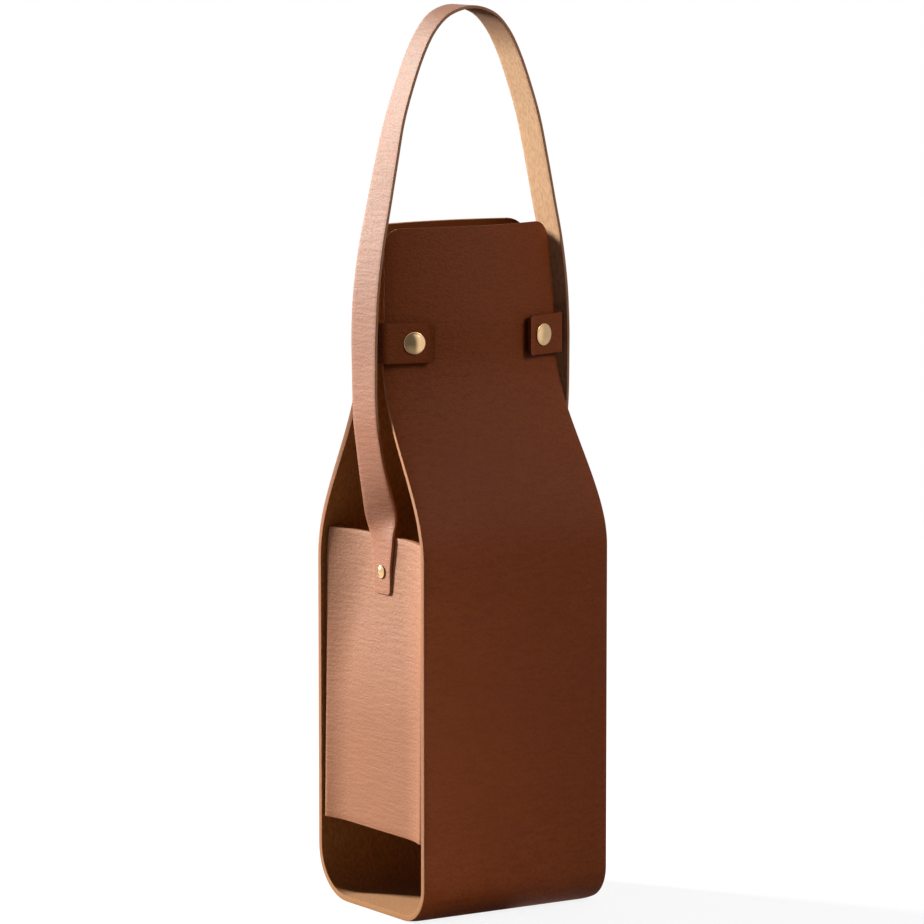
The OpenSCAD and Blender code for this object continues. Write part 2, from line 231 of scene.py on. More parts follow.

# %% [markdown]
# ## Grain leather
#
# The outside is soft cowhide with a pebbled grain: small swollen cells with fine creases between
# them, drawn out sideways because the hide was milled. Voronoi cells give the pebbles, noise bends
# them, and a noise stretched sideways gives the long ripples. The same masks drive the colour (dye
# settles in the creases), the roughness (pebble tops are polished by hands) and the bump.
#
# One recipe makes three finishes. The folded strip has the plain pebbled side of the hide. The
# side panels and the handle are stretched thinner, so they shine more and their ripples run
# longer and deeper. Their browns are lighter than the strip's though it is one hide: that is
# painted light, for the key that falls on them. Their colour also turns slowly to another one
# between two heights: painted sheen that lightens the side panels towards their top, and painted
# shade that darkens and greys the handle towards its arch.

# %% Colour that turns to another with height
tone_wander = 10 * MM


# The grain and flesh finishes use this to paint light and shade that change with height.
def toned_upwards(finish, place, cloud, colour, toned):
    """toned gives the heights between which the colour turns, and the colour it turns to. The
    cloud moves the line up and down, so that it doesn't show as a band."""
    low, high, end = toned
    height = finish.node("ShaderNodeSeparateXYZ", {}, {0: place})["Z"]
    return finish.mix(finish.range(height + cloud * tone_wander, low, high), colour, end)


# %% Pebbles and ripples
drift_scale, drift_reach = 130.0, 1.6 * MM
pebble_scale, pebble_stretch = 850.0, (0.8, 0.8, 1.35)
pebble_top, pebble_foot = 0.15, 0.8
ripple_scale = 680.0


def pebbles_and_ripples(finish, place, ripple_run):
    """Two heights of the grain. A ripple runs further sideways where ripple_run is smaller."""
    drift = finish.noise(place, drift_scale, 2.0, output="Color")
    bent = finish.vector_math("MULTIPLY_ADD", drift, (drift_reach,) * 3, place)[0]
    cell = finish.node("ShaderNodeTexVoronoi", {"feature": "SMOOTH_F1"},
                       {"Vector": finish.stretched(bent, pebble_stretch), "Scale": pebble_scale,
                        "Smoothness": 0.6})["Distance"]
    pebble = 1 - finish.range(cell, pebble_top, pebble_foot)
    drawn_out = finish.stretched(bent, (ripple_run, ripple_run, 1.0))
    return pebble, finish.noise(drawn_out, ripple_scale, 1.0, 0.4)


# %% Grain, for everything that faces out
cloud_scale = 14.0
pebble_share, ripple_share = 0.6, 0.4
pebble_shine, cloud_haze = 0.06, 0.05


def grain_leather(name, polish, roughness, ripple_depth, pebble_depth, ripple_run, browns,
                  toned=None):
    """polish is the strength of the shine. browns are the colours of the creases, of the darker
    parts and of the lighter ones."""
    finish = Finish(name)
    place = finish.place()
    pebble, ripple = pebbles_and_ripples(finish, place, ripple_run)
    cloud = finish.noise(place, cloud_scale)
    crease, dark, light = browns
    brown = finish.mix(finish.range(cloud, 0.35, 0.65), dark, light)
    if toned:
        brown = toned_upwards(finish, place, cloud, brown, toned)
    raised = pebble * pebble_share + finish.range(ripple, 0.3, 0.6) * ripple_share
    normal = finish.bump(pebble, pebble_depth, 0.8)
    return finish.set(
        Base_Color=finish.mix(raised, crease, brown),
        Roughness=roughness + cloud * cloud_haze - pebble * pebble_shine,
        Specular_IOR_Level=polish,
        Normal=finish.bump(ripple, ripple_depth, 0.9, normal),
    )


# %% The three grain finishes
grain = grain_leather(
    "saddle_grain", polish=0.22, roughness=0.66, ripple_depth=0.06 * MM, pebble_depth=0.13 * MM,
    ripple_run=0.22, browns=(srgb(115, 50, 11), srgb(124, 56, 14), srgb(131, 61, 17)))
# The side panels' browns, lighter than the strip's, are painted light for the key; toned is a
# painted sheen that lightens them towards the top.
side_grain_painted_light = grain_leather(
    "side_grain_painted_light", polish=0.7, roughness=0.68, ripple_depth=0.15 * MM, pebble_depth=0.06 * MM,
    ripple_run=0.12, browns=(srgb(136, 72, 20), srgb(144, 78, 23), srgb(151, 83, 27)),
    toned=(115 * MM, 168 * MM, srgb(157, 99, 62)))
# The handle's browns, lighter than the strip's, are painted light for the key; toned is painted
# shade that darkens and greys them towards the arch.
handle_grain_painted_light = grain_leather(
    "handle_grain_painted_light", polish=1.0, roughness=0.72, ripple_depth=0.19 * MM, pebble_depth=0.05 * MM,
    ripple_run=0.14, browns=(srgb(141, 72, 21), srgb(149, 77, 24), srgb(156, 82, 27)),
    toned=(205 * MM, 385 * MM, srgb(104, 68, 44)))
print("grain finishes:", [m.name for m in (grain, side_grain_painted_light, handle_grain_painted_light)])

# %% [markdown]
# ## Flesh side and cut edges
#
# The inside is the hide's own tan colour, matt and faintly fibrous, because it was never dyed. Near
# the top of the panels, and on the underside of the handle's arch near its top, it is darker:
# painted shade, where the front panel and the arch keep the light off. The handle's flesh side is
# paler than the strip's, so it has a finish of its own.
#
# The cut edges are rubbed smooth, with faint layers. They are pale brown, and golden near the
# base: the pale brown is partly their own rubbed colour and partly painted highlight, for edges
# that catch the key. Only the neck straps' edges are as dark as their grain. A noise mixes two
# colours in each, which is enough for an edge this thin.

# %% Undyed flesh side
fibre_scale, nap_scale, stain_scale = 900.0, 2400.0, 22.0
fibre_stretch = (1.0, 1.0, 0.4)
fibre_depth, nap_depth = 0.07 * MM, 0.03 * MM


def flesh_leather(name, tans, toned):
    """tans are the colours of the fibres, of the darker parts and of the lighter ones."""
    finish = Finish(name)
    place = finish.place()
    fibre = finish.noise(finish.stretched(place, fibre_stretch), fibre_scale, 4.0, 0.65)
    nap = finish.noise(place, nap_scale, 3.0, 0.6)
    cloud = finish.noise(place, stain_scale)
    strand, dark, light = tans
    tan = finish.mix(finish.range(fibre, 0.35, 0.6), strand, finish.mix(cloud, dark, light))
    normal = finish.bump(fibre, fibre_depth, 0.7)
    return finish.set(
        Base_Color=toned_upwards(finish, place, cloud, tan, toned),
        Roughness=0.82 + nap * 0.1,
        Specular_IOR_Level=0.0,
        Sheen_Weight=0.12,
        Sheen_Roughness=0.5,
        Normal=finish.bump(nap, nap_depth, 0.6, normal),
    )


# %% Rubbed cut edge
layer_scale, layer_depth = 700.0, 0.1 * MM
golden_to, brown_from = 12 * MM, 34 * MM


def edge_leather(name, browns, tans=None):
    """browns are the two colours of the layers, and tans the same near the base."""
    finish = Finish(name)
    place = finish.place()
    layer = finish.noise(place, layer_scale, 3.0, 0.6)
    brown = finish.mix(layer, *browns)
    if tans:
        tan = finish.mix(layer, *tans)
        brown = toned_upwards(finish, place, layer, tan, (golden_to, brown_from, brown))
    return finish.set(
        Base_Color=brown,
        Roughness=0.62 + layer * 0.12,
        Specular_IOR_Level=0.1,
        Normal=finish.bump(layer, layer_depth, 0.6),
    )


# %% The flesh and edge finishes
# toned darkens the strip's flesh near the top of the panels: painted shade where the front panel
# keeps the light off the back panel's inside.
flesh = flesh_leather(
    "tan_flesh_painted_shade", tans=(srgb(155, 103, 57), srgb(170, 117, 66), srgb(187, 132, 77)),
    toned=(280 * MM, 304 * MM, srgb(112, 60, 27)))
# toned darkens the handle's flesh near the top of the arch: painted shade on the underside, which
# faces away from the key.
handle_flesh = flesh_leather(
    "pale_tan_flesh_painted_shade", tans=(srgb(180, 140, 107), srgb(197, 157, 123), srgb(215, 174, 138)),
    toned=(388 * MM, 410 * MM, srgb(118, 66, 30)))
# The burnished edge's pale browns are partly painted highlight, for edges that catch the key; the
# dyed edge has the grain's own dark brown.
edge = edge_leather("burnished_edge_painted_highlight", browns=(srgb(156, 104, 78), srgb(184, 134, 103)),
                    tans=(srgb(158, 110, 74), srgb(182, 132, 90)))
strap_edge = edge_leather("dyed_edge", browns=(srgb(96, 46, 20), srgb(116, 60, 29)))
print("flesh and edge finishes:", [m.name for m in (flesh, handle_flesh, edge, strap_edge)])

# %% [markdown]
# ## Brass
#
# The snaps and rivets are pale polished brass. Metal is mostly reflection, so the finish only needs
# a warm base, a low roughness that varies a little where fingers touch it, and hair scratches.

# %% Polished pale brass
touch_scale, scratch_scale = 500.0, 2500.0
scratch_stretch, scratch_depth = (1.0, 1.0, 8.0), 0.01 * MM


def polished_brass(name):
    finish = Finish(name)
    place = finish.place()
    touch = finish.noise(place, touch_scale)
    scratch = finish.noise(finish.stretched(place, scratch_stretch), scratch_scale, 2.0)
    return finish.set(
        Base_Color=finish.mix(touch, srgb(222, 180, 130), srgb(238, 202, 154)),
        Metallic=1.0,
        Roughness=0.1 + touch * 0.1,
        Normal=finish.bump(scratch, scratch_depth, 0.5),
    )


brass = polished_brass("pale_brass")
print("brass finish:", len(brass.node_tree.nodes), "nodes")

# %% [markdown]
# ## A sheet of leather
#
# Every leather piece is a sheet: an outer face of grain, an inner face of flesh, and a cut edge all
# round. Two grids of points with the same layout describe it, and strips of faces join them. The
# edge is then bevelled, because a real cut edge is rubbed round and catches a thin line of light.
# A Solidify modifier would thicken one grid as well, but with two grids each face can have a
# shape of its own, such as an outer face that rolls over near the edge.

# %% Faces of a sheet, from two grids of points
GRAIN_SLOT, FLESH_SLOT, EDGE_SLOT = 0, 1, 2


def grid_border(rows, cols):
    """Row and column of the outermost points, once round the grid."""
    return ([(0, c) for c in range(cols)] + [(r, cols - 1) for r in range(1, rows)]
            + [(rows - 1, c) for c in range(cols - 2, -1, -1)]
            + [(r, 0) for r in range(rows - 2, 0, -1)])


def sheet_faces(rows, cols):
    """Faces of the outer grid, the inner grid and the cut edge, with the finish of each."""
    def at(side, r, c):
        return side * rows * cols + r * cols + c

    faces, slots = [], []
    for r in range(rows - 1):
        for c in range(cols - 1):
            faces.append((at(0, r, c), at(0, r + 1, c), at(0, r + 1, c + 1), at(0, r, c + 1)))
            faces.append((at(1, r, c), at(1, r, c + 1), at(1, r + 1, c + 1), at(1, r + 1, c)))
            slots += [GRAIN_SLOT, FLESH_SLOT]
    border = grid_border(rows, cols)
    for (r, c), (s, d) in zip(border, border[1:] + border[:1]):
        faces.append((at(0, r, c), at(0, s, d), at(1, s, d), at(1, r, c)))
        slots.append(EDGE_SLOT)
    return faces, slots


print("border of a 3 by 3 grid:", len(grid_border(3, 3)), "points")

# %% A sheet with its cut edge rubbed round
def keep_smooth(work, mesh):
    """Writes the worked shape into the mesh, shaded smooth."""
    for face in work.faces:
        face.smooth = True
    work.to_mesh(mesh)
    work.free()


def sheet_mesh(name, outer, inner, finishes, edge_round, edge_steps=3):
    """outer and inner are (rows, columns, 3) arrays. Rows crossed with columns point outwards."""
    faces, slots = sheet_faces(*outer.shape[:2])
    points = np.concatenate([outer.reshape(-1, 3), inner.reshape(-1, 3)])
    mesh = bpy.data.meshes.new(name)
    mesh.from_pydata(points.tolist(), [], faces)
    for material in finishes:
        mesh.materials.append(material)
    mesh.polygons.foreach_set("material_index", slots)
    work = bmesh.new()
    work.from_mesh(mesh)
    bmesh.ops.recalc_face_normals(work, faces=work.faces)
    rim = [e for e in work.edges if len({f.material_index for f in e.link_faces}) == 2]
    bmesh.ops.bevel(work, geom=rim, offset=edge_round, segments=edge_steps, profile=0.5,
                    affect="EDGES", clamp_overlap=True, material=EDGE_SLOT)
    keep_smooth(work, mesh)
    return mesh


# %% A piece that rides on a body
def add_piece(name, mesh, body):
    """body is None for a piece that rides on no body."""
    piece = put_in_scene(name, mesh)
    if body:
        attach(piece, body)
    return piece


# %% [markdown]
# ## The body strip
#
# One strip of 3 mm leather makes the front, the base and the back. Each panel is a surface over
# width and height: below, it is flat and stands at the full depth; at the shoulder it leans in; at
# the neck it stands upright again and bows outwards, and above the neck straps its top edge leans
# in once more. The strip also narrows towards its ends. The front leans in more slowly than the
# back. Close to the cut edges the outer face rolls back a little, where the leather was rubbed.
# A flat sheet could be bent into shape by modifiers, but a function of width and height for each
# of these forms keeps both faces smooth at any resolution.

# %% Small geometry helpers
def unit(v):
    return v / np.maximum(np.linalg.norm(v, axis=-1, keepdims=True), 1e-12)


def eased(value, low, high):
    """Eased step from 0 to 1 as value goes from low to high."""
    s = np.clip((np.asarray(value, float) - low) / (high - low), 0, 1)
    return s * s * (3 - 2 * s)


def rounded_half(half, radius, from_end):
    """Half width left at a distance from a straight end whose corners are rounded."""
    inside = np.clip(radius - from_end, 0, radius)
    return half - radius + np.sqrt(radius * radius - inside * inside)


def corner_places(radius, steps):
    """Distances from a straight end, closer together where its corner turns faster."""
    return [radius * (1 - math.cos(math.pi / 2 * i / steps)) for i in range(steps + 1)]


def arc(centre, radius, start, end, steps):
    """Points on an arc, between two angles in degrees."""
    return [np.array([centre[0] + radius * math.cos(a), centre[1] + radius * math.sin(a)])
            for a in np.linspace(math.radians(start), math.radians(end), steps + 1)]


print("places round a 7 mm corner:", [round(d, 2) for d in corner_places(7, 4)])

# %% Sizes of the strip, from the frame and in real millimetres
strip_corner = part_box("body_strip")[1]
body_half, depth_half, panel_top = strip_corner
strap_low, strap_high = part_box("right_neck_strap")
strap_z0, strap_z1 = strap_low.z, strap_high.z
strap_mid_z = (strap_z0 + strap_z1) / 2
strip_t = 3 * MM
top_corner_r = 7.5 * MM
neck_bow = 9 * MM
top_inset = 5.6 * MM
taper_from = 175 * MM
lean_from = strap_mid_z + 5 * MM
draw_power = 1.2
roll_width, roll_depth = 6 * MM, 0.6 * MM
front_panel = {"lean": 164 * MM, "upright": 252 * MM, "edge": 7.2 * MM, "way": -1,
               "tip": 4.6 * MM, "fold": 17 * MM}
back_panel = {"lean": 156 * MM, "upright": 251 * MM, "edge": 15 * MM, "way": 1,
              "tip": 0.4 * MM, "fold": 24 * MM}
print("strip:", [round(v / MM, 1) for v in strip_corner], "mm from the middle of the base")

# %% Width and depth of a panel at any height
def drawn(z, low):
    """Share of a narrowing or a lean that starts at low and is whole at the top edge."""
    return np.maximum(0, (np.asarray(z, float) - low) / (panel_top - low)) ** draw_power


def panel_half(z):
    return body_half - top_inset * drawn(z, taper_from)


def panel_edge(z, panel):
    """Depth of a panel's outer face at its cut edges."""
    way_in = eased(z, panel["lean"], panel["upright"])
    return (depth_half + (panel["edge"] - depth_half) * way_in
            - panel["tip"] * drawn(z, lean_from))


neck_half = float(panel_half(strap_mid_z))


def panel_depth(x, z, panel):
    bow = neck_bow * eased(z, panel["lean"], panel["upright"])
    return panel_edge(z, panel) + bow * (1 - (x / neck_half) ** 2)


def edge_roll(x, half):
    """How far the outer face rolls back near the cut edge."""
    return roll_depth * np.clip((np.abs(x) - half + roll_width) / roll_width, 0, 1) ** 2


print("neck:", round(2 * neck_half / MM, 1), "mm wide at the straps")

# %% Points of the two panels
LEAN_ROWS, UPRIGHT_ROWS, CORNER_ROWS, STRIP_COLS = 60, 14, 7, 40
slope_step = 0.1 * MM
even_places = np.linspace(-1, 1, STRIP_COLS + 1)
strip_places = (even_places + np.sin(math.pi / 2 * even_places)) / 2


def panel_points(panel, inwards):
    """A panel's face at a depth inside the leather, from the top edge down to the fold."""
    heights = [panel_top - d for d in corner_places(top_corner_r, CORNER_ROWS)]
    heights += list(np.linspace(panel_top - top_corner_r, panel["lean"], LEAN_ROWS)[1:])
    heights += list(np.linspace(panel["lean"], panel["fold"], UPRIGHT_ROWS)[1:-1])
    z = np.array(heights)[:, None] * np.ones((1, STRIP_COLS + 1))
    x = rounded_half(panel_half(z), top_corner_r, panel_top - z) * strip_places
    slope_x, slope_z = [
        (panel_depth(x + dx, z + dz, panel) - panel_depth(x - dx, z - dz, panel)) / (2 * slope_step)
        for dx, dz in ((slope_step, 0), (0, slope_step))]
    out = unit(np.stack([-slope_x, np.ones_like(x), -slope_z], axis=-1))
    if inwards == 0:
        inwards = edge_roll(x, panel_half(z))[..., None]
    points = np.stack([x, panel_depth(x, z, panel), z], axis=-1) - inwards * out
    points[..., 1] *= panel["way"]
    return points


print("front panel:", panel_points(front_panel, 0).shape[:2], "rows and columns")

# %% The strip, with its two folds
FOLD_ROWS = 14


def fold_points(inwards):
    """The base between the panels: a tight quarter turn in front, a wider one behind."""
    front, back = front_panel["fold"], back_panel["fold"]
    columns = []
    for x in body_half * strip_places:
        deep = inwards or float(edge_roll(x, body_half))
        run = (arc((front - depth_half, front), front - deep, 180, 270, FOLD_ROWS)
               + arc((depth_half - back, back), back - deep, 270, 360, FOLD_ROWS))
        columns.append([(x, y, z) for y, z in run])
    return np.array(columns).transpose(1, 0, 2)


def strip_face(inwards):
    return np.concatenate([panel_points(front_panel, inwards), fold_points(inwards),
                           panel_points(back_panel, inwards)[::-1]])


strip = add_piece("body_strip_leather",
                  sheet_mesh("body_strip_leather", strip_face(0), strip_face(strip_t),
                             (grain, flesh, edge), edge_round=1.2 * MM, edge_steps=5),
                  "carrier")
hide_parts("body_strip")
print("strip:", len(strip.data.polygons), "faces")

# %% [markdown]
# ## The side panels
#
# Each side panel is thinner leather whose front and back edges are turned in and bonded to the
# strip. Its middle is drawn in towards the bottle, more at the top, where the handle pulls on it,
# and it sags in a soft curve from there to each corner. A cloth simulation would find such a
# shape too, but the plan of the outer face can be written down for each height and lofted
# upwards, which leaves the panel exactly where the rivet holds it.

# %% Sizes of a side panel
gusset_low, gusset_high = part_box("right_gusset")
gusset_bottom, gusset_top = gusset_low.z, gusset_high.z
gusset_t = 2.5 * MM
inset_bottom, inset_top = 0.7 * MM, 2.3 * MM
gusset_corner_r = 2.5 * MM
flange_w = 8 * MM
sunk_bottom, sunk_top = 3 * MM, 7.5 * MM
sunk_from, sunk_to = 85 * MM, 162 * MM
flat_bottom, flat_top = 24 * MM, 12 * MM
glue_line = 0.1 * MM
print("side panels:", round((gusset_top - gusset_bottom) / MM, 1), "mm high")

# %% Plan of the outer face
SIDE_STEPS, BEND_STEPS, FLANGE_STEPS = 40, 9, 3


def side_run(side_edge, side_bow, flat_half, ends, tips):
    """The face between the corners: flat in the middle, then a curve out to each end."""
    run = []
    for y in np.linspace(-ends[0], ends[1], SIDE_STEPS + 1)[1:-1]:
        end, tip = (ends[0], tips[0]) if y < 0 else (ends[1], tips[1])
        turned = gusset_corner_r * (1 - math.cos(tip))
        sag = 1 - max(0, (abs(y) - flat_half) / (end - flat_half)) ** 2
        run.append(np.array([side_edge - turned - (side_bow - turned) * sag, y]))
    return run


def gusset_plan(z):
    """Points of the outer face at height z, from the front flange to the back one."""
    share = float(eased(z, sunk_from, sunk_to))
    flat_half = flat_bottom + (flat_top - flat_bottom) * share
    rise = (z - gusset_bottom) / (gusset_top - gusset_bottom)
    inset = inset_bottom + (inset_top - inset_bottom) * rise
    side_edge = body_half - inset
    side_bow = sunk_bottom + (sunk_top - sunk_bottom) * share - inset
    front, back = [float(panel_edge(z, panel)) - strip_t - glue_line
                   for panel in (front_panel, back_panel)]
    tips = [math.atan(2 * side_bow / (reach - gusset_corner_r - flat_half))
            for reach in (front, back)]
    ends = [reach - gusset_corner_r * (1 + math.sin(tip))
            for reach, tip in zip((front, back), tips)]
    corner_x = side_edge - gusset_corner_r
    flange_xs = np.linspace(corner_x - flange_w + gusset_corner_r, corner_x, FLANGE_STEPS + 1)[:-1]
    return ([np.array([x, -front]) for x in flange_xs]
            + arc((corner_x, gusset_corner_r - front), gusset_corner_r,
                  270, 360 + math.degrees(tips[0]), BEND_STEPS)
            + side_run(side_edge, side_bow, flat_half, ends, tips)
            + arc((corner_x, back - gusset_corner_r), gusset_corner_r,
                  -math.degrees(tips[1]), 90, BEND_STEPS)
            + [np.array([x, back]) for x in flange_xs[::-1]])


print("plan of a side panel:", len(gusset_plan(gusset_top)), "points")

# %% Side panels, lofted upwards
GUSSET_ROWS = 44


def grid_normals(grid):
    """Outward direction at each point of a grid, from its neighbours."""
    down = np.gradient(grid, axis=0)
    across = np.gradient(grid, axis=1)
    return unit(np.cross(unit(down), unit(across)))


def gusset_piece(name, way):
    """way is -1 for the left panel, which mirrors the right one."""
    heights = np.linspace(gusset_bottom, gusset_top, GUSSET_ROWS)
    outer = np.array([[(x, y, z) for x, y in reversed(gusset_plan(z))] for z in heights])
    inner = outer - gusset_t * grid_normals(outer)
    inner[..., 2] = outer[..., 2]
    for grid in (outer, inner):
        grid[..., 0] *= way
    mesh = sheet_mesh(name + "_leather", outer, inner, (side_grain_painted_light, flesh, edge),
                      edge_round=0.5 * MM)
    piece = add_piece(name + "_leather", mesh, "carrier")
    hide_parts(name)
    print(piece.name + ":", len(mesh.polygons), "faces")


gusset_piece("left_gusset", -1)
gusset_piece("right_gusset", 1)

# %% [markdown]
# ## The handle
#
# The handle is one strap whose middle line is a smooth curve through a few chosen points. Each leg
# leaves its rivet upright, swings out past the shoulder and closes to an arch at the top. The same
# curve sweeps the strap's width, which narrows towards the riveted ends. A curve object with a
# flat bevel makes such a sweep at once, but all its sides share one finish. A strap has grain
# outside, flesh inside and a cut edge, so its two faces are swept as grids here, and turned by
# given angles where the left leg twists.

# %% Middle line of the handle
handle_low, handle_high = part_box("handle_strap")
rivet_low, rivet_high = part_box("right_handle_rivet")
rivet_z = (rivet_low.z + rivet_high.z) / 2
handle_t = 1.3 * MM
slide_gap = 0.2 * MM
strap_end_z = handle_low.z
gusset_face_x = body_half - sunk_top
leg_end_x = gusset_face_x + slide_gap + handle_t / 2
leg_wide_x = body_half + 2.1 * MM + handle_t / 2
arch_top_z = handle_high.z - handle_t / 2

# For a leg, shares of the way up and of the way out, from the rivet to the bottom of the neck
# straps. For the arch, shares of the way up from there, and of the width that is left.
leg_shares = [(0.13, 0.01), (0.27, 0.085), (0.45, 0.485), (0.61, 0.77), (0.76, 0.955), (1, 1)]
arch_shares = [(0.09, 0.998), (0.2, 0.978), (0.32, 0.928), (0.44, 0.852), (0.56, 0.775),
               (0.68, 0.69), (0.785, 0.583), (0.87, 0.477), (0.935, 0.363), (0.981, 0.215)]
half_route = [(leg_end_x, strap_end_z), (leg_end_x, rivet_z)]
half_route += [(leg_end_x + (leg_wide_x - leg_end_x) * out, rivet_z + (strap_z0 - rivet_z) * up)
               for up, out in leg_shares]
half_route += [(leg_wide_x * out, strap_z0 + (arch_top_z - strap_z0) * up)
               for up, out in arch_shares]
handle_points = np.array([(-x, z) for x, z in half_route] + [(0, arch_top_z)] + half_route[::-1])
print("handle top at", round(handle_high.z / MM, 1), "mm, through", len(handle_points), "points")

# %% A smooth curve, and the twist of the left leg
ROUTE_STEPS = 10


def smooth_route(points):
    """A curve that passes smoothly through all the points."""
    padded = np.concatenate([points[:1], points, points[-1:]])
    run = []
    for a, b, c, d in zip(padded, padded[1:], padded[2:], padded[3:]):
        for s in np.arange(ROUTE_STEPS) / ROUTE_STEPS:
            run.append((2 * b + (c - a) * s + (2 * a - 5 * b + 4 * c - d) * s ** 2
                        + (3 * b - a - 3 * c + d) * s ** 3) / 2)
    return np.array(run + [points[-1]])


# Height on the left leg in millimetres, and how far the strap is twisted there, in degrees: its
# front edge turns in above the rivet, and a little out again in the arch.
leg_twist = [(164, 0), (171, 2.5), (180, 17), (194, 10), (208, 5), (235, 2.5), (276, 5), (330, 0),
             (360, -6), (392, -7), (405.2, 0)]


def twist_along(route):
    heights, turns = smooth_route(np.array(leg_twist, float)).T
    return np.radians(np.interp(route[:, 1], heights * MM, turns)) * (route[:, 0] < 0)


print("most twist:", max(turn for height, turn in leg_twist), "degrees")

# %% Handle strap
handle_w, handle_end_w = 18 * MM, 14 * MM
handle_corner_r = 2 * MM
least_step = 0.2 * MM
END_STEPS, ACROSS_COUNT = 4, 9


def handle_route():
    """Middle line with its straight ends, whose steps follow the rounded corners."""
    route = smooth_route(handle_points)
    ends = [strap_end_z + d for d in corner_places(handle_corner_r, END_STEPS)]
    route = route[route[:, 1] > ends[-1] + least_step]
    left_end = [(-leg_end_x, z) for z in ends]
    return np.array(left_end + [tuple(p) for p in route] + [(-x, z) for x, z in left_end[::-1]])


def handle_faces():
    route = handle_route()
    along = unit(np.gradient(route, axis=0))
    out = np.stack([-along[:, 1], 0 * along[:, 0], along[:, 0]], axis=-1)
    wide = handle_end_w + (handle_w - handle_end_w) * eased(route[:, 1], rivet_z, gusset_top)
    half = rounded_half(wide / 2, handle_corner_r, route[:, 1] - strap_end_z)
    turn = twist_along(route)[:, None]
    depth = np.array([[0.0, 1.0, 0.0]])
    across = ((np.cos(turn) * depth + np.sin(turn) * out) * half[:, None])[:, None, :]
    out = np.cos(turn) * out - np.sin(turn) * depth
    middle = np.stack([route[:, 0], 0 * half, route[:, 1]], axis=-1)
    steps = np.linspace(-1, 1, ACROSS_COUNT)[None, :, None]
    return [(middle + out * offset)[:, None, :] + across * steps
            for offset in (handle_t / 2, -handle_t / 2)]


handle = add_piece("handle_strap_leather",
                   sheet_mesh("handle_strap_leather", *handle_faces(),
                              (handle_grain_painted_light, handle_flesh, edge), edge_round=0.4 * MM),
                   "handle")
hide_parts("handle_strap")
print("handle:", len(handle.data.polygons), "faces")

# %% [markdown]
# ## The neck straps
#
# Each neck strap is one piece of leather: riveted to the back panel, drawn round the side of the
# neck, and snapped to the front. It crosses a joint, because its free end peels off. So the strap
# is modelled whole, as one piece that rides on no body. The hole for the snap's barrel is cut with
# a boolean, as a hollow punch would.

# %% Seats of the straps on the panels
neck_strap_t = 1.8 * MM
snap_gap = 1.2 * MM
snap_x = neck_half - 12.2 * MM
neck_tilt = math.atan(2 * neck_bow * snap_x / neck_half ** 2)
bow_at_snap = neck_bow * (1 - (snap_x / neck_half) ** 2)
along_front = np.array([math.cos(neck_tilt), math.sin(neck_tilt)])
along_back = np.array([math.cos(neck_tilt), -math.sin(neck_tilt)])
out_front = np.array([math.sin(neck_tilt), -math.cos(neck_tilt)])
out_back = np.array([math.sin(neck_tilt), math.cos(neck_tilt)])
front_seat = np.array([snap_x, -front_panel["edge"] - bow_at_snap]) + out_front * snap_gap
back_seat = np.array([snap_x, back_panel["edge"] + bow_at_snap]) + out_back * glue_line
print("snaps at", round(snap_x / MM, 1), "mm, tilted", round(math.degrees(neck_tilt), 1), "degrees")

# %% Line of a strap in plan
tab_end = 9.5 * MM
tab_corner_r = 2 * MM
strap_bend_r = 1.5 * MM
strap_side_x = float(panel_half(strap_z0)) + slide_gap
STRAIGHT_STEPS = 12


def where_x(seat, direction, x):
    """The point of a straight line through seat that has this x."""
    return seat + direction * ((x - seat[0]) / direction[0])


def straight(start, end):
    """Points between start and end, without either."""
    return [start + (end - start) * s for s in np.linspace(0, 1, STRAIGHT_STEPS + 1)[1:-1]]


def strap_bend(before, corner, after):
    """The rounded bend at a corner, its centre, and which way is out before it."""
    came, goes = unit(corner - before), unit(after - corner)
    turn = math.acos(float(came @ goes))
    inward = np.array([-came[1], came[0]])
    centre = corner - came * strap_bend_r * math.tan(turn / 2) + inward * strap_bend_r
    start = math.degrees(math.atan2(-inward[1], -inward[0]))
    return arc(centre, strap_bend_r, start, start + math.degrees(turn), BEND_STEPS), centre, -inward


def strap_line():
    """Inner face of a strap, with its outward direction, from tab end to back end."""
    corners = [front_seat - along_front * tab_end,
               where_x(front_seat, along_front, strap_side_x),
               where_x(back_seat, along_back, strap_side_x),
               back_seat - along_back * tab_end]
    end_steps = corner_places(tab_corner_r, END_STEPS)
    line = [(corners[0] + along_front * d, out_front) for d in end_steps]
    for before, corner, after in zip(corners, corners[1:], corners[2:]):
        bend, centre, outward = strap_bend(before, corner, after)
        line += [(p, outward) for p in straight(line[-1][0], bend[0])]
        line += [(p, unit(p - centre)) for p in bend]
    line += [(p, out_back) for p in straight(line[-1][0], corners[3] + along_back * tab_corner_r)]
    line += [(corners[3] + along_back * d, out_back) for d in reversed(end_steps)]
    return [np.array(column) for column in zip(*line)]


print("strap line:", len(strap_line()[0]), "points")

# %% A punched hole
barrel_half = 2.7 * MM
HOLE_STEPS = 32


def frame_on(place, out):
    """A matrix whose Z points out of the leather at place."""
    z = Vector(out).normalized()
    x = Vector((0, 0, 1)).cross(z).normalized()
    y = z.cross(x)
    return Matrix.Translation(Vector(place)) @ Matrix((x, y, z)).transposed().to_4x4()


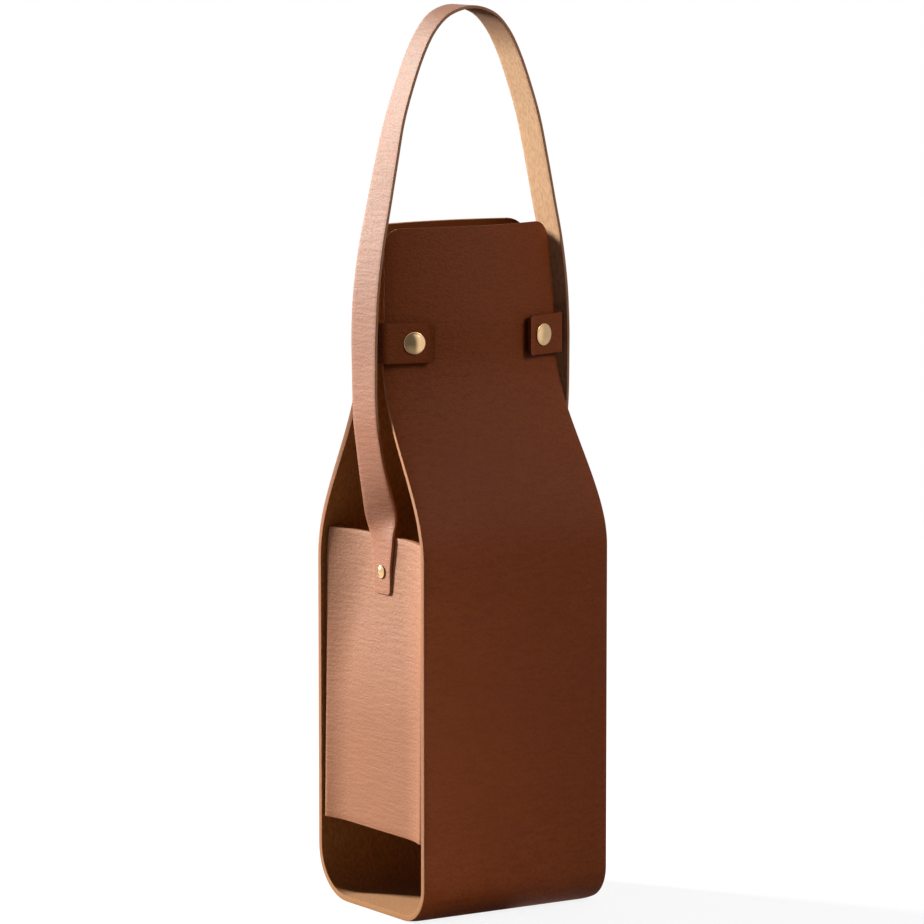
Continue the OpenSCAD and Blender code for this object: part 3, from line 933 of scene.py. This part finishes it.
def punch_hole(mesh, place, out, radius):
    """Cuts a round hole for a snap's barrel through a sheet."""
    punch = bmesh.new()
    bmesh.ops.create_cone(punch, cap_ends=True, segments=HOLE_STEPS, radius1=radius,
                          radius2=radius, depth=4 * neck_strap_t, matrix=frame_on(place, out))
    cutter_mesh = bpy.data.meshes.new("punch")
    punch.to_mesh(cutter_mesh)
    punch.free()
    cutter = put_in_scene("punch", cutter_mesh)
    sheet = put_in_scene("punched", mesh)
    cut = sheet.modifiers.new("hole", "BOOLEAN")
    cut.operation, cut.solver, cut.object = "DIFFERENCE", "EXACT", cutter
    cut.material_mode = "INDEX"
    seen = sheet.evaluated_get(bpy.context.evaluated_depsgraph_get())
    shape = bmesh.new()
    shape.from_mesh(seen.to_mesh())
    seen.to_mesh_clear()
    shape.to_mesh(mesh)
    shape.free()
    for thing in (cutter, sheet):
        bpy.data.objects.remove(thing)
    bpy.data.meshes.remove(cutter_mesh)


# %% Neck straps with their tabs
tab_curl, curl_length = 0.8 * MM, 4.5 * MM


def strap_faces(way):
    """Outer and inner face of a strap, with the tab's end curled up a little."""
    places, outs = strap_line()
    run = np.concatenate([[0], np.cumsum(np.linalg.norm(np.diff(places, axis=0), axis=1))])
    half = rounded_half((strap_z1 - strap_z0) / 2, tab_corner_r, np.minimum(run, run[-1] - run))
    lift = tab_curl * np.clip(1 - run / curl_length, 0, 1) ** 2
    faces = []
    for offset in (neck_strap_t, 0):
        line = places + outs * (offset + lift)[:, None]
        faces.append(np.array([[(way * x, y, strap_mid_z + h * s)
                                for s in np.linspace(-1, 1, ACROSS_COUNT)]
                               for (x, y), h in zip(line, half)]))
    return faces


def neck_strap_piece(side, way):
    """way is -1 for the left strap, which mirrors the right one."""
    name = side + "_neck_strap_leather"
    mesh = sheet_mesh(name, *strap_faces(way), (grain, flesh, strap_edge), edge_round=0.4 * MM)
    punch_hole(mesh, (way * front_seat[0], front_seat[1], strap_mid_z),
               (way * out_front[0], out_front[1], 0), barrel_half)
    piece = add_piece(name, mesh, None)
    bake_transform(piece)
    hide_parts(side + "_neck_strap", side + "_tab")
    print(name + ":", len(mesh.polygons), "faces")


neck_strap_piece("left", -1)
neck_strap_piece("right", 1)

# %% [markdown]
# ## Snap caps and rivets
#
# A cap is spun from thin brass: a flat rim that turns down onto the leather, a tight shoulder and a
# low dome. A lathe does the same, so each is one profile turned about its axis, placed in a frame
# that stands square on the leather under it. Below its head a snap cap has the barrel that holds
# the socket, and a rivet has its post with the peened end over the washer.

# %% Profiles to turn
lip_r, crown_inset = 0.28 * MM, 0.55 * MM
LIP_STEPS, DOME_STEPS = 8, 12


def head_profile(half, rise):
    """Half section of a domed cap: round the lip from below, over the shoulder and dome."""
    points = [(half - lip_r, 0.0)]
    points += [tuple(p) for p in arc((half - lip_r, lip_r), lip_r, -90, 100, LIP_STEPS)[1:]]
    crown = half - crown_inset
    for i in range(1, DOME_STEPS + 1):
        left = 1 - i / DOME_STEPS
        points.append((crown * left, 2 * lip_r + (rise - 2 * lip_r) * (1 - left ** 2)))
    return points


def barrel_profile(depth, wall=0.5 * MM, dish=0.2 * MM):
    """Half section of a snap cap's barrel, from the dish under the dome to its outside."""
    bore = barrel_half - wall
    return [(0, dish), (bore, dish), (bore, -depth), (barrel_half, -depth), (barrel_half, 0)]


def post_profile(depth, half=1.5 * MM, peen=0.3 * MM):
    """Half section of a rivet's post, from the middle of its peened end to the head."""
    return [(0, -depth - peen), (half, -depth - peen), (half + peen, -depth), (half, -depth),
            (half, 0)]


# %% Turning a profile about its axis
TURN_STEPS = 56
sharp_angle = math.radians(50)
same_place = MM / 1000


def turned_mesh(name, profile, where, finish):
    turns = np.linspace(0, 2 * math.pi, TURN_STEPS, endpoint=False)
    points = [where @ Vector((radius * math.cos(a), radius * math.sin(a), height))
              for radius, height in profile for a in turns]
    faces = []
    for ring in range(0, (len(profile) - 1) * TURN_STEPS, TURN_STEPS):
        for i in range(TURN_STEPS):
            j = (i + 1) % TURN_STEPS
            faces.append((ring + i, ring + j, ring + TURN_STEPS + j, ring + TURN_STEPS + i))
    mesh = bpy.data.meshes.new(name)
    mesh.from_pydata([tuple(p) for p in points], [], faces)
    mesh.materials.append(finish)
    work = bmesh.new()
    work.from_mesh(mesh)
    bmesh.ops.remove_doubles(work, verts=work.verts, dist=same_place)
    bmesh.ops.recalc_face_normals(work, faces=work.faces)
    for line in work.edges:
        line.smooth = line.calc_face_angle(0) < sharp_angle
    keep_smooth(work, mesh)
    return mesh


def turned_head(node, body, profile, place, out):
    """A cap or rivet that stands for a node, with its head turned out of the leather."""
    name = node + "_brass"
    head = add_piece(name, turned_mesh(name, profile, frame_on(place, out), brass), body)
    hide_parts(node)
    print(name + ":", len(head.data.polygons), "faces")


# %% Caps, back rivets and handle rivets
cap_half, rivet_half, head_rise = 5 * MM, 3 * MM, 1.3 * MM
washer_t = 0.6 * MM
cap_profile = barrel_profile(neck_strap_t + glue_line) + head_profile(cap_half, head_rise)
rivet_head = head_profile(rivet_half, head_rise)
back_depth = 2 * glue_line + neck_strap_t + strip_t + glue_line + washer_t
handle_depth = slide_gap + handle_t + glue_line + gusset_t + glue_line + washer_t
for side, way in (("left", -1), ("right", 1)):
    seat = front_seat + out_front * (neck_strap_t + glue_line)
    turned_head(side + "_snap_cap", side + "_flap", cap_profile,
                (way * seat[0], seat[1], strap_mid_z), (way * out_front[0], out_front[1], 0))
    seat = back_seat + out_back * (neck_strap_t + glue_line)
    turned_head(side + "_back_rivet", "carrier", post_profile(back_depth) + rivet_head,
                (way * seat[0], seat[1], strap_mid_z), (way * out_back[0], out_back[1], 0))
    turned_head(side + "_handle_rivet", "carrier", post_profile(handle_depth) + rivet_head,
                (way * (gusset_face_x + slide_gap + handle_t + glue_line), 0, rivet_z),
                (way, 0, 0))

# %% Brass for the hidden sockets, studs, eyelets and washers
fittings = [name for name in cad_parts
            if any(word in name for word in ("rivet", "washer", "snap"))]
for name in fittings:
    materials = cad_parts[name].data.materials
    materials.clear()
    materials.append(brass)
print("brass fittings:", len(fittings))

# %% [markdown]
# ## Floor, light and world
#
# The carrier stands on a pale floor in plain studio light. The key is a wide soft lamp behind and
# to the left, like a window: it gives the side and the handle their broad sheen, reaches through
# the open side onto the base, and leaves the front in shade. A soft lamp in front fills that
# shade, and a small narrow one lifts the front's lower left corner, as a floor would that throws
# light back.
#
# The white background is shown only to the camera and to reflections, so that it puts no extra
# light on the leather. The room has two sides that are dim, in reflections only, because polished
# brass looks flat where it mirrors an even white. Close to the carrier the floor also shows its
# own shading, which keeps the shadow.

# %% White to the camera and to reflections, plain to everything else
def seen_directly(graph):
    rays = graph.node("ShaderNodeLightPath")
    either = graph.math("MAXIMUM", rays["Is Camera Ray"], rays["Is Glossy Ray"])
    return graph.math("MAXIMUM", either, rays["Is Transmission Ray"])


# Where the room is dim in reflections: the direction, the cosines between which the dimness
# sets in, and how much light is lost.
dim_sides = (((-0.57, -0.82, 0.0), 0.66, 0.82, 0.86), ((0.98, -0.19, 0.0), 0.78, 0.95, 0.45))


def room_tone(graph, direction):
    """1, but lower for reflections of the room's dim sides."""
    flat = graph.vector_math("NORMALIZE", direction)[0]
    reflected = graph.node("ShaderNodeLightPath")["Is Glossy Ray"]
    tone = 1
    for side, low, high, lost in dim_sides:
        facing = graph.vector_math("DOT_PRODUCT", flat, side)["Value"]
        tone = tone * (1 - reflected * graph.range(facing, low, high, 0.0, lost))
    return tone


print("dim sides of the room:", len(dim_sides))

# %% Floor
floor_half = 40.0
paper_grey, paper_glow = 0.15, 0.86
shadow_from, shadow_to = 0.35, 1.3


def floor_finish(name):
    """Grey paper that glows up to white, and is plain white far from the carrier."""
    finish = Finish(name)
    finish.set(Base_Color=(paper_grey, paper_grey, paper_grey, 1.0), Roughness=0.9)
    paper = Signal(finish, finish.shader.outputs[0])
    where = finish.place()
    tone = room_tone(finish, where)
    glow = finish.node("ShaderNodeEmission", {}, {"Strength": tone * paper_glow})[0]
    white = finish.node("ShaderNodeEmission", {}, {"Strength": tone})[0]
    near = finish.node("ShaderNodeAddShader", {}, {0: paper, 1: glow})[0]
    away = finish.vector_math("LENGTH", where)["Value"]
    fade = finish.range(away, shadow_from, shadow_to)
    shown = finish.node("ShaderNodeMixShader", {}, {0: fade, 1: near, 2: white})[0]
    mixed = finish.node("ShaderNodeMixShader", {},
                        {0: seen_directly(finish), 1: paper, 2: shown})[0]
    finish.feed(finish.tree.nodes["Material Output"].inputs[0], mixed)
    return finish.material


floor_mesh = bpy.data.meshes.new("floor")
floor_mesh.from_pydata([(x * floor_half, y * floor_half, 0)
                        for x, y in ((-1, -1), (1, -1), (1, 1), (-1, 1))], [], [(0, 1, 2, 3)])
floor_mesh.materials.append(floor_finish("floor_paper"))
put_in_scene("floor", floor_mesh)
print("floor:", round(2 * floor_half), "m square")

# %% World
world_level = 0.05


def studio_world():
    """Dim to the carrier, white to the camera and to reflections."""
    world = bpy.data.worlds.new("studio")
    world.use_nodes = True
    bpy.context.scene.world = world
    room = Graph(world.node_tree)
    direction = room.node("ShaderNodeTexCoord")["Generated"]
    level = room.range(seen_directly(room), 0.0, 1.0, world_level, 1.0)
    background = room.tree.nodes["Background"].inputs
    room.feed(background["Color"], (1, 1, 1, 1))
    room.feed(background["Strength"], level * room_tone(room, direction))


studio_world()
print("world level:", world_level)

# %% Lamps
def soft_lamp(name, place, aim, size, power, colour=(1, 1, 1), spread=180):
    """A square lamp at place that points at aim. spread is the angle it lights, in degrees."""
    data = bpy.data.lights.new(name, "AREA")
    data.size = size
    data.spread = math.radians(spread)
    data.energy = power
    data.color = colour
    lamp = put_in_scene(name, data)
    lamp.location = place
    lamp.rotation_euler = aimed_along(Vector(aim) - Vector(place))
    print(name + ":", power, "W")


soft_lamp("key", (-1.2, 1.92, 0.99), aim=(0, 0, 0.2), size=0.35, power=148,
          colour=(1.0, 0.98, 0.91))
soft_lamp("front_fill", (0.4, -0.8, 0.8), aim=(0, 0, 0.2), size=0.4, power=4.1)
soft_lamp("low_fill", (0.0, -1.2, 0.35), aim=(-0.13, -0.05, 0.03), size=0.15, power=0.06,
          spread=16)
